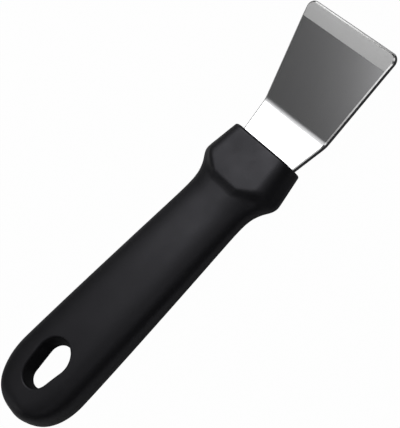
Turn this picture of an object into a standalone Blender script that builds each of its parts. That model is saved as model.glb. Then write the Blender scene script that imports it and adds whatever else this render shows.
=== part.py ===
"""Ceramic hob scraper: a bent stainless blade whose tang is held in a black plastic handle.

Metres, +Z up. +X runs from the butt of the handle to the scraping edge. The flat underside of
the handle lies on Z = 0, and the origin is below the middle of the whole tool.
"""
import math

import bmesh
import bpy
from mathutils import Matrix, Vector

# Handle lengths, each measured from the butt or from the front face
HANDLE_LENGTH = 0.1440
BUTT_ROUND_LENGTH = 0.0222
NECK_SETBACK = 0.0329
PANEL_SETBACK = 0.0204
CORNER_SETBACK = 0.0152

# Handle half widths, at the level of the blade
BUTT_HALF_WIDTH = 0.0198
NECK_HALF_WIDTH = 0.0160
CORNER_HALF_WIDTH = 0.0233
FRONT_HALF_WIDTH = 0.0201

# Handle heights above and below the level of the blade
BUTT_TOP = 0.0082
NECK_TOP = 0.0058
SHOULDER_TOP = 0.0063
PANEL_TOP = 0.0073
UNDERSIDE_DEPTH = 0.0043
SIDE_DEPTH = 0.0060

# Raised panel on top of the handle's front end
PANEL_REAR_HALF_WIDTH = 0.0070
PANEL_CORNER_HALF_WIDTH = 0.0175
PANEL_FRONT_HALF_WIDTH = 0.0160
UNDERSIDE_INSET = 0.0046

# Roundings of the handle
BUTT_PLAN_POWER = 2.12
BUTT_SECTION_POWER = 3.4
NECK_SECTION_POWER = 2.4
GRIP_TAPER_POWER = 1.29
SHOULDER_POWER = 3.0
STEP_START = 0.70
STEP_POWER = 1.9
EDGE_FALL_LENGTH = 0.0080
BUTT_FLAT = 0.0002
PANEL_EDGE_ROUNDING = 0.0045
CORNER_ROUNDING = 0.0022
REAR_EDGE_ROUNDING = 0.0016
FRONT_EDGE_RADIUS = 0.0011

# Hanging slot near the butt, an egg shape that is wider towards the blade
SLOT_REAR_CENTRE = 0.0194
SLOT_FRONT_CENTRE = 0.0272
SLOT_REAR_RADIUS = 0.0067
SLOT_FRONT_RADIUS = 0.0080
SLOT_TOP_ROUNDING = 0.0010

# The slot's throat, where the mould's two cores meet: its height is over the blade's level, and
# its spread is how far the way through widens from there down to the underside
THROAT_REAR_CENTRE = 0.0184
THROAT_FRONT_CENTRE = 0.0279
THROAT_REAR_RADIUS = 0.0047
THROAT_FRONT_RADIUS = 0.0059
THROAT_HEIGHT = 0.0023
THROAT_SPREAD = 0.0052

# Blade: one bent sheet, ground on its upper side at the scraping edge
SHEET_THICKNESS = 0.0020
SHANK_REACH = 0.0154
BLADE_REACH = 0.0437
BEND_ANGLE = math.radians(21.6)
BEND_RADIUS = 0.0095
SHANK_HALF_WIDTH = 0.0158
BEND_HALF_WIDTH = 0.0186
EDGE_HALF_WIDTH = 0.0254
EDGE_CORNER_RADIUS = 0.0032
GROUND_LENGTH = 0.0074
EDGE_THICKNESS = 0.0016

# Tang inside the handle, and the plastic that locks it
TANG_LENGTH = 0.0620
TANG_HALF_WIDTH = 0.0110
TANG_SHOULDER_DEPTH = 0.0060
TANG_SHOULDER_LENGTH = 0.0040
TANG_END_RADIUS = 0.0040
KEY_HOLE_RADIUS = 0.0032
KEY_HOLE_SETBACKS = (0.0220, 0.0480)
TANG_CLEARANCE = 0.0003

# Finishes
STEEL_COLOUR = (0.60, 0.60, 0.61)
STEEL_ROUGHNESS = 0.22
PLASTIC_COLOUR = (0.016, 0.016, 0.017)
PLASTIC_ROUGHNESS = 0.50
SHARP_ANGLE = math.radians(30.0)

# Fineness of the round shapes
ARC_STEPS = 8
BEND_STEPS = 8
SLOT_ARC_STEPS = 12
SLOT_RIM_STEPS = 5
HOLE_SIDES = 32
CORNER_STEPS = 4
BOTTOM_CORNER_STEPS = 2
FRONT_EDGE_STEPS = 3
SHOULDER_STEPS = 14
BUTT_STEPS = 13
GRIP_STEPS = 12

# The grip's half section has as many points as the head's, and is widest at the same one
WIDEST_STEP = 4 + CORNER_STEPS + CORNER_STEPS // 2
HALF_SECTION_STEPS = 8 + 2 * CORNER_STEPS + BOTTOM_CORNER_STEPS

# How far a cutter runs past what it cuts, and the distances below which points are one
CUTTER_MARGIN = 0.0020
WELD_DISTANCE = 0.000001
SPLIT_DISTANCE = 0.0000001

# Places that follow from the sizes above
BEND_SETBACK = BEND_RADIUS * math.tan(BEND_ANGLE / 2)
BEND_LENGTH = BEND_RADIUS * BEND_ANGLE
EDGE_OVERHANG = SHEET_THICKNESS / 2 * math.sin(BEND_ANGLE)
TOTAL_LENGTH = HANDLE_LENGTH + SHANK_REACH + BLADE_REACH * math.cos(BEND_ANGLE) + EDGE_OVERHANG
BUTT_X = -TOTAL_LENGTH / 2
FACE_X = BUTT_X + HANDLE_LENGTH
BEND_X = FACE_X + SHANK_REACH
BEND_START_X = BEND_X - BEND_SETBACK
FLAT_EDGE_X = BEND_START_X + BEND_LENGTH + BLADE_REACH - BEND_SETBACK
GROUND_START_X = FLAT_EDGE_X - GROUND_LENGTH
BLADE_LEVEL = UNDERSIDE_DEPTH

# Places along the handle, from the butt
NECK_X = HANDLE_LENGTH - NECK_SETBACK
PANEL_X = HANDLE_LENGTH - PANEL_SETBACK
CORNER_X = HANDLE_LENGTH - CORNER_SETBACK
ROUNDED_FRONT_X = HANDLE_LENGTH - FRONT_EDGE_RADIUS


def new_collection(name):
    collection = bpy.data.collections.new(name)
    bpy.context.scene.collection.children.link(collection)
    return collection


def new_material(name, colour, roughness, metallic):
    material = bpy.data.materials.new(name)
    material.use_nodes = True
    shader = material.node_tree.nodes["Principled BSDF"]
    shader.inputs["Base Color"].default_value = (*colour, 1.0)
    shader.inputs["Roughness"].default_value = roughness
    shader.inputs["Metallic"].default_value = metallic
    return material


def new_object(name, mesh, collection):
    obj = bpy.data.objects.new(name, mesh)
    collection.objects.link(obj)
    return obj


def keep_as_cutter(obj):
    obj.hide_render = True
    obj.display_type = "WIRE"
    return obj


def cut(obj, cutter):
    modifier = obj.modifiers.new("cut_" + cutter.name, "BOOLEAN")
    modifier.operation = "DIFFERENCE"
    modifier.solver = "EXACT"
    modifier.object = cutter


def settled_mesh(obj):
    """The object's mesh with its modifiers or its curve already worked out."""
    bpy.context.view_layer.update()
    depsgraph = bpy.context.evaluated_depsgraph_get()
    return bpy.data.meshes.new_from_object(obj.evaluated_get(depsgraph), depsgraph=depsgraph)


def plate(name, outline, thickness, collection):
    """A flat plate round Z = 0: a filled 2D curve, thickened, then made a welded mesh."""
    curve = bpy.data.curves.new(name, "CURVE")
    curve.dimensions = "2D"
    curve.fill_mode = "BOTH"
    curve.extrude = thickness / 2
    spline = curve.splines.new("POLY")
    spline.points.add(len(outline) - 1)
    for point, (x, y) in zip(spline.points, outline):
        point.co = (x, y, 0.0, 1.0)
    spline.use_cyclic_u = True
    flat = new_object(name, curve, collection)
    mesh = settled_mesh(flat)
    bpy.data.objects.remove(flat)
    bm = bmesh.new()
    bm.from_mesh(mesh)
    bmesh.ops.remove_doubles(bm, verts=bm.verts, dist=WELD_DISTANCE)
    bmesh.ops.recalc_face_normals(bm, faces=bm.faces)
    bm.to_mesh(mesh)
    bm.free()
    return new_object(name, mesh, collection)


def peg(name, radius, height, x, z, collection):
    """An upright cylinder."""
    mesh = bpy.data.meshes.new(name)
    bm = bmesh.new()
    bmesh.ops.create_cone(
        bm, cap_ends=True, segments=HOLE_SIDES, radius1=radius, radius2=radius, depth=height,
        matrix=Matrix.Translation((x, 0.0, z)))
    bm.to_mesh(mesh)
    bm.free()
    return keep_as_cutter(new_object(name, mesh, collection))


def loft(name, rings, collection):
    """A closed skin over unlike sections that all have the same number of points."""
    bm = bmesh.new()
    loops = [[bm.verts.new(point) for point in ring] for ring in rings]
    for rear, front in zip(loops, loops[1:]):
        for i in range(len(rear)):
            j = (i + 1) % len(rear)
            bm.faces.new((rear[i], rear[j], front[j], front[i]))
    bm.faces.new(loops[0])
    bm.faces.new(loops[-1])
    bmesh.ops.recalc_face_normals(bm, faces=bm.faces)
    mesh = bpy.data.meshes.new(name)
    bm.to_mesh(mesh)
    bm.free()
    return new_object(name, mesh, collection)


def mix(a, b, share):
    return a + (b - a) * share


def clamp(value):
    return min(1.0, max(0.0, value))


def arc(centre, radius, start, end, steps):
    """Points on an arc about a centre, with the angles in degrees from +X."""
    angles = [math.radians(mix(start, end, k / steps)) for k in range(steps + 1)]
    return [(centre[0] + radius * math.cos(a), centre[1] + radius * math.sin(a)) for a in angles]


def swell(share, power):
    """Rises from 0 to 1 like the rounded end of an oval as the share goes from 0 to 1."""
    return (1.0 - (1.0 - clamp(share)) ** power) ** (1.0 / power)


# Blade

def blank_outline(grow=0.0):
    """The flat blank in the handle's X, before it is bent; grow widens the tang all round."""
    tang_end = FACE_X - TANG_LENGTH - grow
    tang_half = TANG_HALF_WIDTH + grow
    shoulder = FACE_X - TANG_SHOULDER_DEPTH - grow
    corner = TANG_END_RADIUS
    flare = math.atan2(EDGE_HALF_WIDTH - BEND_HALF_WIDTH, FLAT_EDGE_X - BEND_X)
    drop = EDGE_CORNER_RADIUS * (math.tan(flare) + 1.0 / math.cos(flare))
    edge_arc = arc((FLAT_EDGE_X - EDGE_CORNER_RADIUS, EDGE_HALF_WIDTH + grow - drop),
                   EDGE_CORNER_RADIUS, 90.0 + math.degrees(flare), 0.0, ARC_STEPS)
    side = arc((tang_end + corner, tang_half - corner), corner, 180.0, 90.0, ARC_STEPS)
    side += [(shoulder - TANG_SHOULDER_LENGTH, tang_half), (shoulder, SHANK_HALF_WIDTH + grow),
             (FACE_X, SHANK_HALF_WIDTH + grow), (BEND_X, BEND_HALF_WIDTH + grow)]
    side += edge_arc
    return side + [(x, -y) for x, y in reversed(side)]


def bend_sheet(x, z):
    """Where a point of the flat blank comes to lie once the blade is bent up."""
    along = x - BEND_START_X
    if along <= 0.0:
        return x, z
    angle = min(along / BEND_RADIUS, BEND_ANGLE)
    straight = along - angle * BEND_RADIUS
    bent_x = BEND_START_X + BEND_RADIUS * math.sin(angle) + straight * math.cos(angle)
    bent_z = BEND_RADIUS * (1.0 - math.cos(angle)) + straight * math.sin(angle)
    return bent_x - z * math.sin(angle), bent_z + z * math.cos(angle)


def grinding_wedge(collection):
    """The metal that grinding takes off the upper side of the scraping edge."""
    slope = math.atan2(SHEET_THICKNESS - EDGE_THICKNESS, GROUND_LENGTH)
    length = GROUND_LENGTH / math.cos(slope) + CUTTER_MARGIN
    width = 2.0 * (EDGE_HALF_WIDTH + CUTTER_MARGIN)
    height = SHEET_THICKNESS + CUTTER_MARGIN
    mesh = bpy.data.meshes.new("ground_face")
    bm = bmesh.new()
    bmesh.ops.create_cube(bm, size=1.0)
    bmesh.ops.scale(bm, verts=bm.verts, vec=(length, width, height))
    bmesh.ops.translate(bm, verts=bm.verts, vec=(length / 2, 0.0, height / 2))
    bmesh.ops.rotate(bm, verts=bm.verts, matrix=Matrix.Rotation(slope, 3, "Y"))
    bmesh.ops.translate(bm, verts=bm.verts, vec=(GROUND_START_X, 0.0, SHEET_THICKNESS / 2))
    bm.to_mesh(mesh)
    bm.free()
    return keep_as_cutter(new_object("ground_face", mesh, collection))


def make_blade(parts, cutters):
    blank = plate("blade", blank_outline(), SHEET_THICKNESS, parts)
    cut(blank, grinding_wedge(cutters))
    for number, setback in enumerate(KEY_HOLE_SETBACKS):
        cut(blank, peg(f"key_hole_{number + 1}", KEY_HOLE_RADIUS,
                       SHEET_THICKNESS + 2.0 * CUTTER_MARGIN, FACE_X - setback, 0.0, cutters))
    mesh = settled_mesh(blank)
    blank.modifiers.clear()
    blank.data = mesh
    bm = bmesh.new()
    bm.from_mesh(mesh)
    for k in range(BEND_STEPS + 1):
        line = BEND_START_X + BEND_LENGTH * k / BEND_STEPS
        bmesh.ops.bisect_plane(bm, geom=bm.verts[:] + bm.edges[:] + bm.faces[:],
                               dist=SPLIT_DISTANCE, plane_co=(line, 0.0, 0.0),
                               plane_no=(1.0, 0.0, 0.0))
    for vert in bm.verts:
        x, z = bend_sheet(vert.co.x, vert.co.z)
        vert.co = (x, vert.co.y, z + BLADE_LEVEL)
    bm.to_mesh(mesh)
    bm.free()
    return blank


# Handle

def grip_half_section(half_width, top, side_depth, power):
    """Half of an oval section with a flat underside, from the top round to the bottom."""
    points = []
    for i in range(HALF_SECTION_STEPS + 1):
        if i <= WIDEST_STEP:
            angle = math.pi / 2 * (1.0 - i / WIDEST_STEP)
            height = top * math.sin(angle) ** (2.0 / power)
        else:
            angle = math.pi / 2 * (i - WIDEST_STEP) / (HALF_SECTION_STEPS - WIDEST_STEP)
            height = -min(UNDERSIDE_DEPTH, side_depth * math.sin(angle) ** (2.0 / power))
        points.append((half_width * max(0.0, math.cos(angle)) ** (2.0 / power), height))
    points[0] = (0.0, top)
    points[-1] = (0.0, points[-1][1])
    return points


def midpoint(a, b):
    return tuple((Vector(a) + Vector(b)) / 2)


def rounded_corner(before, corner, after, size, steps):
    """Points on a soft corner that starts and ends at a distance from it."""
    before, corner, after = Vector(before), Vector(corner), Vector(after)
    start = corner + (before - corner).normalized() * size
    end = corner + (after - corner).normalized() * size
    shares = [k / steps for k in range(steps + 1)]
    return [tuple(start.lerp(corner, s).lerp(corner.lerp(end, s), s)) for s in shares]


def head_half_section(half_width, panel_half_width):
    """Half of the six sided section at the handle's front end, point for point like the grip's."""
    top_middle = (0.0, PANEL_TOP)
    panel_edge = (panel_half_width, PANEL_TOP)
    widest = (half_width, 0.0)
    bottom_edge = (half_width - UNDERSIDE_INSET, -UNDERSIDE_DEPTH)
    bottom_middle = (0.0, -UNDERSIDE_DEPTH)
    upper = rounded_corner(top_middle, panel_edge, widest, PANEL_EDGE_ROUNDING, CORNER_STEPS)
    side = rounded_corner(panel_edge, widest, bottom_edge, CORNER_ROUNDING, CORNER_STEPS)
    lower = rounded_corner(widest, bottom_edge, bottom_middle, CORNER_ROUNDING / 2,
                           BOTTOM_CORNER_STEPS)
    points = [top_middle, (PANEL_REAR_HALF_WIDTH, PANEL_TOP)]
    points += upper + [midpoint(upper[-1], side[0])]
    points += side + [midpoint(side[-1], lower[0])]
    points += lower + [midpoint(lower[-1], bottom_middle), bottom_middle]
    return points


def whole_ring(xs, half):
    """Mirrors a half section and sets it at the handle's place in the tool."""
    left = [(BUTT_X + x, y, BLADE_LEVEL + z) for x, (y, z) in zip(xs, half)]
    right = [(x, -y, z) for x, y, z in left[-2:0:-1]]
    return left + right


def butt_and_grip_rings():
    rings = []
    for k in range(BUTT_STEPS + 1):
        share = 1.0 - math.cos(math.pi / 2 * k / BUTT_STEPS)
        x = BUTT_ROUND_LENGTH * share
        depth = max(x, BUTT_FLAT)
        half_width = BUTT_HALF_WIDTH * swell(depth / BUTT_ROUND_LENGTH, BUTT_PLAN_POWER)
        fall = swell(depth / EDGE_FALL_LENGTH, NECK_SECTION_POWER)
        half = grip_half_section(half_width, BUTT_TOP * fall, SIDE_DEPTH * fall, BUTT_SECTION_POWER)
        rings.append(whole_ring([x] * len(half), half))
    for k in range(1, GRIP_STEPS + 1):
        share = k / GRIP_STEPS
        x = mix(BUTT_ROUND_LENGTH, NECK_X, share)
        half_width = mix(BUTT_HALF_WIDTH, NECK_HALF_WIDTH, share ** GRIP_TAPER_POWER)
        power = mix(BUTT_SECTION_POWER, NECK_SECTION_POWER, share)
        half = grip_half_section(half_width, mix(BUTT_TOP, NECK_TOP, share), SIDE_DEPTH, power)
        rings.append(whole_ring([x] * len(half), half))
    return rings


def skews(half):
    """How far each point of a section follows the side instead of the middle."""
    span = PANEL_CORNER_HALF_WIDTH - PANEL_REAR_HALF_WIDTH
    return [clamp((y - PANEL_REAR_HALF_WIDTH) / span) if z > 0.0 else 1.0 for y, z in half]


def shoulder_point_rows():
    """Half rows of (x, y, z) from the neck up to the rear edge of the raised panel."""
    head = head_half_section(CORNER_HALF_WIDTH, PANEL_CORNER_HALF_WIDTH)
    follow = skews(head)
    rows = []
    for k in range(1, SHOULDER_STEPS + 1):
        share = k / SHOULDER_STEPS
        width_share = share ** SHOULDER_POWER
        grip_width = mix(NECK_HALF_WIDTH, CORNER_HALF_WIDTH, width_share)
        top = mix(NECK_TOP, SHOULDER_TOP, share)
        grip = grip_half_section(grip_width, top, SIDE_DEPTH, NECK_SECTION_POWER)
        step = clamp((share - STEP_START) / (1.0 - STEP_START)) ** STEP_POWER
        x_middle = mix(NECK_X, PANEL_X, share)
        x_side = mix(NECK_X, CORNER_X, share)
        row = []
        for (gy, gz), (hy, hz), skew in zip(grip, head, follow):
            row.append((mix(x_middle, x_side, skew), mix(gy, hy, step), mix(gz, hz, step)))
        rows.append(row)
    return rows


def head_point_rows():
    """Half rows of (x, y, z) over the raised panel and round the edge of the front face."""
    follow = skews(head_half_section(CORNER_HALF_WIDTH, PANEL_CORNER_HALF_WIDTH))
    rows = []
    last_share = 1.0 - FRONT_EDGE_RADIUS / PANEL_SETBACK
    for share in (last_share / 2, last_share):
        half_width = mix(CORNER_HALF_WIDTH, FRONT_HALF_WIDTH, share)
        panel = mix(PANEL_CORNER_HALF_WIDTH, PANEL_FRONT_HALF_WIDTH, share)
        x_middle = mix(PANEL_X, ROUNDED_FRONT_X, share / last_share)
        x_side = mix(CORNER_X, ROUNDED_FRONT_X, share / last_share)
        half = head_half_section(half_width, panel)
        rows.append([(mix(x_middle, x_side, s), y, z) for s, (y, z) in zip(follow, half)])
    front = head_half_section(FRONT_HALF_WIDTH, PANEL_FRONT_HALF_WIDTH)
    for k in range(1, FRONT_EDGE_STEPS + 1):
        turn = math.pi / 2 * k / FRONT_EDGE_STEPS
        x = ROUNDED_FRONT_X + FRONT_EDGE_RADIUS * math.sin(turn)
        inset = FRONT_EDGE_RADIUS * (1.0 - math.cos(turn))
        y_scale = 1.0 - inset / FRONT_HALF_WIDTH
        up_scale = 1.0 - inset / PANEL_TOP
        down_scale = 1.0 - inset / UNDERSIDE_DEPTH
        rows.append([(x, y * y_scale, z * (up_scale if z > 0.0 else down_scale)) for y, z in front])
    return rows


def towards(start, end):
    """A point part of the way to the next row, for the softened rear edge of the panel."""
    gap = Vector(end) - Vector(start)
    return Vector(start) + gap.normalized() * min(REAR_EDGE_ROUNDING, gap.length) / 2


def soften_panel_edge(before, edge, after):
    """Three rows in place of the panel's sharp rear edge."""
    rear = [towards(e, b) for e, b in zip(edge, before)]
    front = [towards(e, a) for e, a in zip(edge, after)]
    middle = [(r + 2.0 * Vector(e) + f) / 4 for r, e, f in zip(rear, edge, front)]
    return [[tuple(p) for p in row] for row in (rear, middle, front)]


def make_handle(parts, cutters):
    shoulder = shoulder_point_rows()
    head = head_point_rows()
    rows = shoulder[:-1] + soften_panel_edge(shoulder[-2], shoulder[-1], head[0]) + head
    rings = butt_and_grip_rings()
    for row in rows:
        rings.append(whole_ring([x for x, _, _ in row], [(y, z) for _, y, z in row]))
    handle = loft("handle", rings, parts)
    cut(handle, hanging_slot(cutters))
    cut(handle, tang_pocket(cutters))
    return handle


def egg_ring(rear_centre, rear_radius, front_centre, front_radius, z):
    """An egg outline at one height: two arcs about centres on the handle's middle line."""
    lean = math.degrees(math.asin((front_radius - rear_radius) / (front_centre - rear_centre)))
    points = arc((front_centre, 0.0), front_radius, -90.0 - lean, 90.0 + lean, SLOT_ARC_STEPS)
    points += arc((rear_centre, 0.0), rear_radius, 90.0 + lean, 270.0 - lean, SLOT_ARC_STEPS)
    return [(BUTT_X + x, y, BLADE_LEVEL + z) for x, y in points]


def mouth_ring(grow, z):
    return egg_ring(SLOT_REAR_CENTRE, SLOT_REAR_RADIUS + grow,
                    SLOT_FRONT_CENTRE, SLOT_FRONT_RADIUS + grow, z)


def throat_ring(grow, z):
    return egg_ring(THROAT_REAR_CENTRE, THROAT_REAR_RADIUS + grow,
                    THROAT_FRONT_CENTRE, THROAT_FRONT_RADIUS + grow, z)


def hanging_slot(collection):
    """The slot's cutter: a funnel from the mouth down to the throat, and a wider one below it."""
    depth = THROAT_HEIGHT + UNDERSIDE_DEPTH
    widest = THROAT_SPREAD * (depth + CUTTER_MARGIN) / depth
    rings = [throat_ring(widest, -UNDERSIDE_DEPTH - CUTTER_MARGIN), throat_ring(0.0, THROAT_HEIGHT)]
    rim_bottom = BUTT_TOP - SLOT_TOP_ROUNDING
    for k in range(SLOT_RIM_STEPS + 1):
        turn = math.pi / 2 * k / SLOT_RIM_STEPS
        grow = SLOT_TOP_ROUNDING * (1.0 - math.cos(turn))
        rings.append(mouth_ring(grow, rim_bottom + SLOT_TOP_ROUNDING * math.sin(turn)))
    rings.append(mouth_ring(SLOT_TOP_ROUNDING, BUTT_TOP + CUTTER_MARGIN))
    return keep_as_cutter(loft("hanging_slot", rings, collection))


def tang_pocket(collection):
    """The room for the tang, less the plastic that fills the tang's key holes."""
    height = SHEET_THICKNESS + 2.0 * TANG_CLEARANCE
    pocket = plate("tang_pocket", blank_outline(TANG_CLEARANCE), height, collection)
    for number, setback in enumerate(KEY_HOLE_SETBACKS):
        cut(pocket, peg(f"key_{number + 1}", KEY_HOLE_RADIUS - TANG_CLEARANCE,
                        height + 2.0 * CUTTER_MARGIN, FACE_X - setback, BLADE_LEVEL, collection))
    pocket.location.z = BLADE_LEVEL
    return keep_as_cutter(pocket)


def main():
    for obj in list(bpy.data.objects):
        bpy.data.objects.remove(obj)
    parts = new_collection("ceramic_hob_scraper")
    cutters = new_collection("cutters")
    blade = make_blade(parts, cutters)
    handle = make_handle(parts, cutters)
    steel = new_material("stainless_steel", STEEL_COLOUR, STEEL_ROUGHNESS, 1.0)
    plastic = new_material("black_plastic", PLASTIC_COLOUR, PLASTIC_ROUGHNESS, 0.0)
    for obj, material in ((blade, steel), (handle, plastic)):
        obj.data.materials.clear()
        obj.data.materials.append(material)
        obj.data.shade_smooth()
        obj.data.set_sharp_from_angle(angle=SHARP_ANGLE)


main()
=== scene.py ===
"""Ceramic hob scraper: its looks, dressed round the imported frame.

Metres, in the frame's own axes: +X runs from the butt to the scraping edge, +Z is up, and the
handle lies on Z = 0. Sections of the handle are worked out from the butt and the blade's level.
"""
import math

import bmesh
import bpy
import numpy as np
from mathutils import Matrix, Vector


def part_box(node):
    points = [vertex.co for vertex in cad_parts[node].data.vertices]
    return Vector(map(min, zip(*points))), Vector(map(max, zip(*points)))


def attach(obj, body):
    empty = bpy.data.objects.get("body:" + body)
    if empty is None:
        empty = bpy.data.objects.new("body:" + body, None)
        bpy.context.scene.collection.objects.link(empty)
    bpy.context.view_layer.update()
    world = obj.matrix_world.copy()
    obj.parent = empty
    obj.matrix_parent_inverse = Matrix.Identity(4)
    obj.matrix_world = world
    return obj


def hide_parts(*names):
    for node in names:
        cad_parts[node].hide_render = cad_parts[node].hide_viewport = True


bl_info = {
    "name": "Ceramic Hob Scraper",
    "version": (1, 0, 0),
    "blender": (4, 5, 0),
    "location": "3D View > Sidebar > Scraper",
    "description": "Builds a bent steel hob scraper with a moulded plastic handle",
    "category": "Add Mesh",
}

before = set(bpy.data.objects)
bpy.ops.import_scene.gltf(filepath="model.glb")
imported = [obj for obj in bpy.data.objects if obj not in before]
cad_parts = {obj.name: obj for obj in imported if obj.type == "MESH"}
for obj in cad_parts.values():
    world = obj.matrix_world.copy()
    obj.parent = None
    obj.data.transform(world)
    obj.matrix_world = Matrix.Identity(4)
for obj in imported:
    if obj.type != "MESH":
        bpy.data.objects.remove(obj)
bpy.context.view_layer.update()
handle_low, handle_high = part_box("handle")
blade_low, blade_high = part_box("blade")

# The sheet's thickness gives the level of its middle, which the handle's sections start from
SHEET_THICKNESS = 0.0020
BLADE_LEVEL = blade_low.z + SHEET_THICKNESS / 2
BUTT_X = handle_low.x
HANDLE_LENGTH = handle_high.x - handle_low.x

# Fullness of the handle's ovals, where 2 is an ellipse
BUTT_PLAN_POWER = 2.12
BUTT_SECTION_POWER = 3.4
NECK_SECTION_POWER = 2.4

# How the width runs along the grip and the shoulder, where 1 is a straight line
GRIP_TAPER_POWER = 1.29
SHOULDER_POWER = 3.0

# The share of the shoulder's length where it starts to take the head's section, and how late it does
STEP_START = 0.70
STEP_POWER = 1.9

# Length over which the butt rises to its height, and softness of the edge round the flat underside
EDGE_FALL_LENGTH = 0.0080
UNDERSIDE_BLEND = 0.0012

# How far the corners of the panel's rear edge are rounded over, as a share of its slant
PANEL_CORNER_SOFTNESS = 0.08
PANEL_CORNER_SAMPLES = 9

# Softening of the handle's creases: how often, and over how many rows on each side
NECK_PASSES = 30
NECK_ROWS = 7
REAR_EDGE_PASSES = 1
REAR_EDGE_ROWS = 3
SIDE_CORNER_PASSES = 16
SIDE_CORNER_ROWS = 14

# Fineness of the handle: steps round half a section, and rows along it
UPPER_STEPS = 44
LOWER_STEPS = 26
CURVE_SAMPLES = 400
CORNER_SAMPLES = 12
BUTT_ROWS = 30
GRIP_ROWS = 60
SHOULDER_ROWS = 30
HEAD_ROWS = 32
FRONT_ROWS = 6
FIRST_BUTT_TURN = math.radians(1.5)

# The hanging slot takes this patch out of the rows and columns, and the rest settles round it
SLOT_PATCH_REAR = 0.0085
SLOT_PATCH_FRONT = 0.0395
SLOT_PATCH_COLUMNS = 16
SLOT_SETTLE_ROWS = 8
SLOT_SETTLE_COLUMNS = 9
SLOT_SETTLE_PASSES = 80
SLOT_RIM_ROWS = 7
SLOT_WALL_ROWS = 6

# Fineness of the blade, and of the pocket that its tang goes into
BEND_STEPS = 24
CORNER_STEPS = 14
HOLE_STEPS = 24
ARRIS_SEGMENTS = 2
POCKET_SIDE_STEPS = 4
POCKET_CORNER_STEPS = 3

# The blade's finishes, which its flat faces take by how level they lie and how far they face the end; the
# cut edge and the honed end are painted shade, the worn arris a painted highlight
ROLLED_FACE, GROUND_FACE, CUT_EDGE_PAINTED_SHADE, WORN_ARRIS_PAINTED_HIGHLIGHT, HONED_END_PAINTED_SHADE = range(5)
CUT_WALL_SLOPE = 0.45
ARRIS_SLOPE = 0.985
END_SHARE = 0.90

# Edges of the flat sheet that turn by more than this are rounded over
ARRIS_ANGLE = math.radians(60.0)

# Edges that turn by more than these angles look sharp
HANDLE_SHARP_ANGLE = math.radians(40.0)
BLADE_SHARP_ANGLE = math.radians(20.0)

# Points nearer than these are taken as one
WELD_DISTANCE = 0.000001
SLICE_TOLERANCE = WELD_DISTANCE / 10

# The range that most of a noise pattern lies in
NOISE_RANGE = (0.3, 0.7)

# Floor, backdrop and camera
FLOOR_RADIUS = 3.0
BACKDROP_HEIGHT = 0.75
FLOOR_CURVE = 0.50
FLOOR_CURVE_STEPS = 10
FLOOR_STEPS = 64
FLOOR_GAP = 0.0001
SENSOR_WIDTH = 36.0
CLIP_NEAR = 0.01
CLIP_FAR = 20.0


def length(name, description, default):
    """A size that can be set in the sidebar."""
    return bpy.props.FloatProperty(
        name=name, description=description, default=default, min=0.0, precision=5, unit="LENGTH")


def share(name, description, default):
    """A plain number from 0 to 1 that can be set in the sidebar."""
    return bpy.props.FloatProperty(
        name=name, description=description, default=default, min=0.0, max=1.0, precision=3)


def colour(name, description, default):
    return bpy.props.FloatVectorProperty(
        name=name, description=description, default=default, min=0.0, max=1.0, subtype="COLOR")


def angle(name, description, default):
    """An angle in degrees, kept in radians."""
    return bpy.props.FloatProperty(
        name=name, description=description, default=math.radians(default), precision=4, unit="ROTATION")


def position(name, description, default):
    """A place along an axis, on either side of the middle."""
    return bpy.props.FloatProperty(
        name=name, description=description, default=default, precision=5, unit="LENGTH")


def heading(description, default):
    """The direction in which a light stands."""
    return bpy.props.FloatVectorProperty(
        name="Direction", description=description, default=default, subtype="DIRECTION")


def light_level(name, description, default):
    return bpy.props.FloatProperty(name=name, description=description, default=default, min=0.0)


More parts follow.
